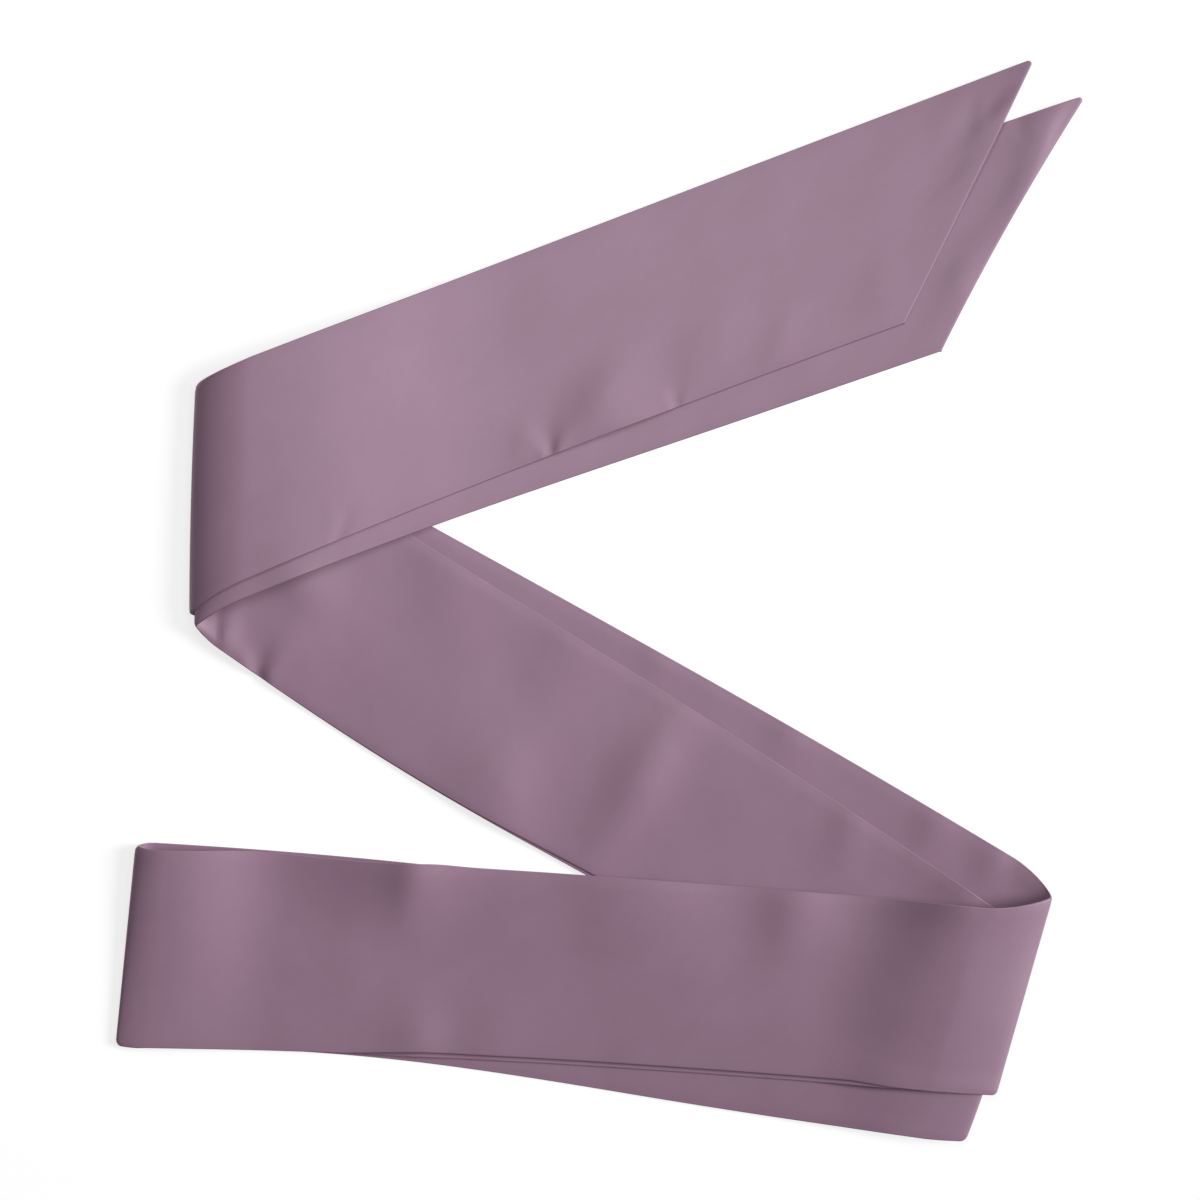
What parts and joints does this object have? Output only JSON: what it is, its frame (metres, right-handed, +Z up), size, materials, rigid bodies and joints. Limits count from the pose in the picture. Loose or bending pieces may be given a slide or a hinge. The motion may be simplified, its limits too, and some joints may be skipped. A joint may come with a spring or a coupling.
{
  "type": "sash",
  "caption": "Wide plain satin tie sash with pointed ends, doubled in half and laid down folded in a flat zigzag.",
  "frame": {"origin": "centre of the bounding box in plan, at the height of the surface that the sash lies on", "axes": "+Z up from the surface, +X towards the two pointed ends, +Y towards the upper stretch that carries them"},
  "size_m": [0.4941, 0.551, 0.0193],
  "materials": {
    "satin": "dusty mauve satin with a soft, low sheen"
  },
  "bodies": {
    "root": {"top_outer": "satin", "top_inner": "satin", "middle_inner": "satin", "middle_outer": "satin", "bottom_outer": "satin", "bottom_inner": "satin"}
  },
  "joints": []
}
